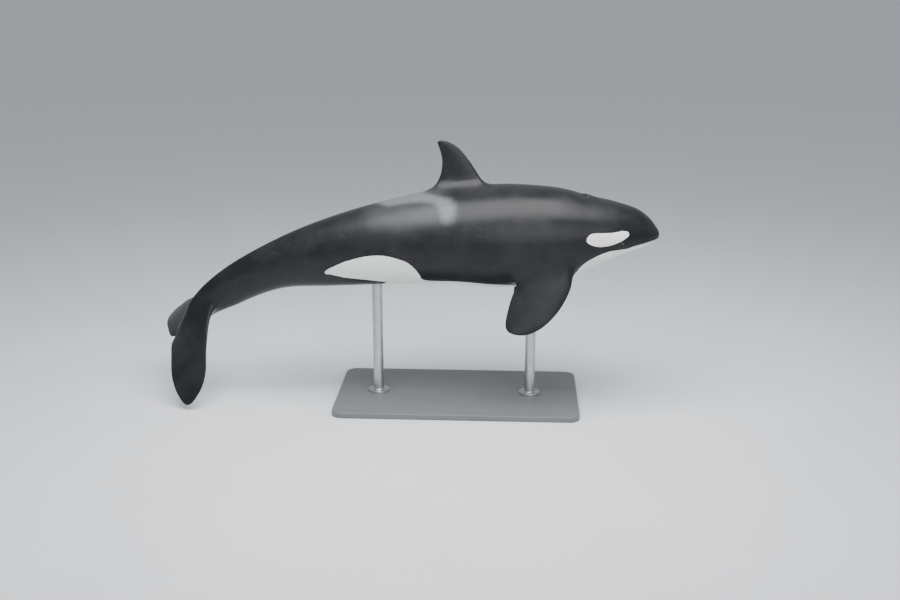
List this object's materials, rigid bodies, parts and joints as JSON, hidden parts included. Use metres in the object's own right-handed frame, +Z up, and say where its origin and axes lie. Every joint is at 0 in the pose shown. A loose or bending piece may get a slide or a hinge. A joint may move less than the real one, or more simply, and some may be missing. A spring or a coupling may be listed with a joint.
{
  "type": "orca",
  "caption": "Life-size still model of a swimming orca with its tail drawn down and rolled aside, held over a flat base by rods.",
  "frame": {"origin": "on the floor, under the middle of the whole model", "axes": "+X towards the snout, +Y to the animal's left, +Z up"},
  "size_m": [5.4202, 1.5124, 2.8125],
  "materials": {
    "skin_black": "smooth wet skin, black with grey saddle and white patches",
    "skin_white": "smooth wet skin, off-white",
    "eye": "wet and clear over dark brown",
    "stand_plinth": "satin grey paint",
    "stand_rod": "brushed"
  },
  "bodies": {
    "root": {"head": "skin_black", "lower_jaw": "skin_white", "thorax": "skin_black", "abdomen": "skin_black", "tail_base": "skin_black", "tail_stock": "skin_black", "dorsal_fin": "skin_black", "pectoral_fin_left": "skin_black", "pectoral_fin_right": "skin_black", "fluke_left": "skin_black", "fluke_right": "skin_black", "eye_left": "eye", "eye_right": "eye", "stand_base": "stand_plinth", "stand_rod_front": "stand_rod", "stand_rod_rear": "stand_rod"}
  },
  "joints": []
}
